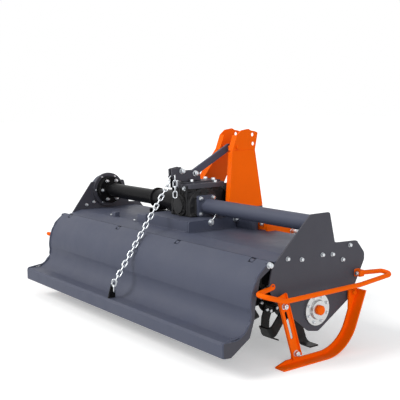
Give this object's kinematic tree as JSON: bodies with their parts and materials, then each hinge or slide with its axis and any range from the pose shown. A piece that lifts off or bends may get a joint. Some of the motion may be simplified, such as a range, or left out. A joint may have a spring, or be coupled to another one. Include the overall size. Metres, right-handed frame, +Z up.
{
  "type": "rotary tiller",
  "caption": "Rear-mounted rotary tiller with a flat hood, a tined rotor under it, a centre gearbox, a three-point mast, a chain-hung rear flap and two skids.",
  "frame": {"origin": "centre of the overall box at ground level, under the skids' soles", "axes": "+X to the right seen from behind, +Y forward to the tractor, +Z up"},
  "size_m": [2.335, 1.1076, 1.1336],
  "materials": {
    "body_paint": "satin slate blue paint",
    "frame_paint": "satin orange paint",
    "black_paint": "satin black paint",
    "zinc": "zinc plated",
    "steel": "dark forged steel"
  },
  "bodies": {
    "frame": {"bearing_cap": "frame_paint", "bearing_housing": "zinc", "brace_pins": "zinc", "drive_case": "body_paint", "drive_case_cover": "body_paint", "drive_case_flange": "black_paint", "drive_tube": "black_paint", "flap_chain": "zinc", "front_beam": "body_paint", "gearbox_bracket": "black_paint", "gearbox_housing": "black_paint", "gearbox_rear_cover": "black_paint", "gearbox_saddle": "body_paint", "guard_hoop_left": "frame_paint", "guard_hoop_right": "frame_paint", "hinge_rod": "zinc", "hitch_bracket_left": "frame_paint", "hitch_bracket_right": "frame_paint", "hitch_pin_left": "zinc", "hitch_pin_right": "zinc", "hood": "body_paint", "hood_hinge_eyes": "body_paint", "input_neck": "black_paint", "mast_brace": "body_paint", "mast_foot_left": "body_paint", "mast_foot_right": "body_paint", "mast_leg_left": "frame_paint", "mast_leg_right": "frame_paint", "shaft_shield": "black_paint", "side_plate_left": "body_paint", "side_plate_right": "body_paint", "skid_left": "frame_paint", "skid_right": "frame_paint", "skid_strap_left": "frame_paint", "skid_strap_right": "frame_paint", "support_tube": "body_paint"},
    "rotor": {"rotor_tube": "black_paint", "tines_right_hand": "steel", "tines_left_hand": "steel"},
    "input_drive": {"input_shaft": "zinc"},
    "flap": {"flap_panel": "body_paint", "flap_end_left": "body_paint", "flap_end_right": "body_paint", "flap_hinge_eyes": "body_paint", "flap_chain_lug": "black_paint"}
  },
  "joints": [
    {"name": "rotor_spin", "type": "hinge", "parent": "frame", "child": "rotor", "pos_m": [0, 0.05625, 0.25], "axis": [1, 0, 0], "continuous": true},
    {"name": "input_spin", "type": "hinge", "parent": "frame", "child": "input_drive", "pos_m": [0, 0.29155, 0.683], "axis": [0, 1, 0], "continuous": true},
    {"name": "flap_swing", "type": "hinge", "parent": "frame", "child": "flap", "pos_m": [0, -0.26675, 0.52136], "axis": [-1, 0, 0], "range_deg": [0, 60], "deforming": ["flap_chain"]}
  ],
  "couplings": [
    {"joint": "input_spin", "follows": "rotor_spin", "ratio": -2.45}
  ]
}
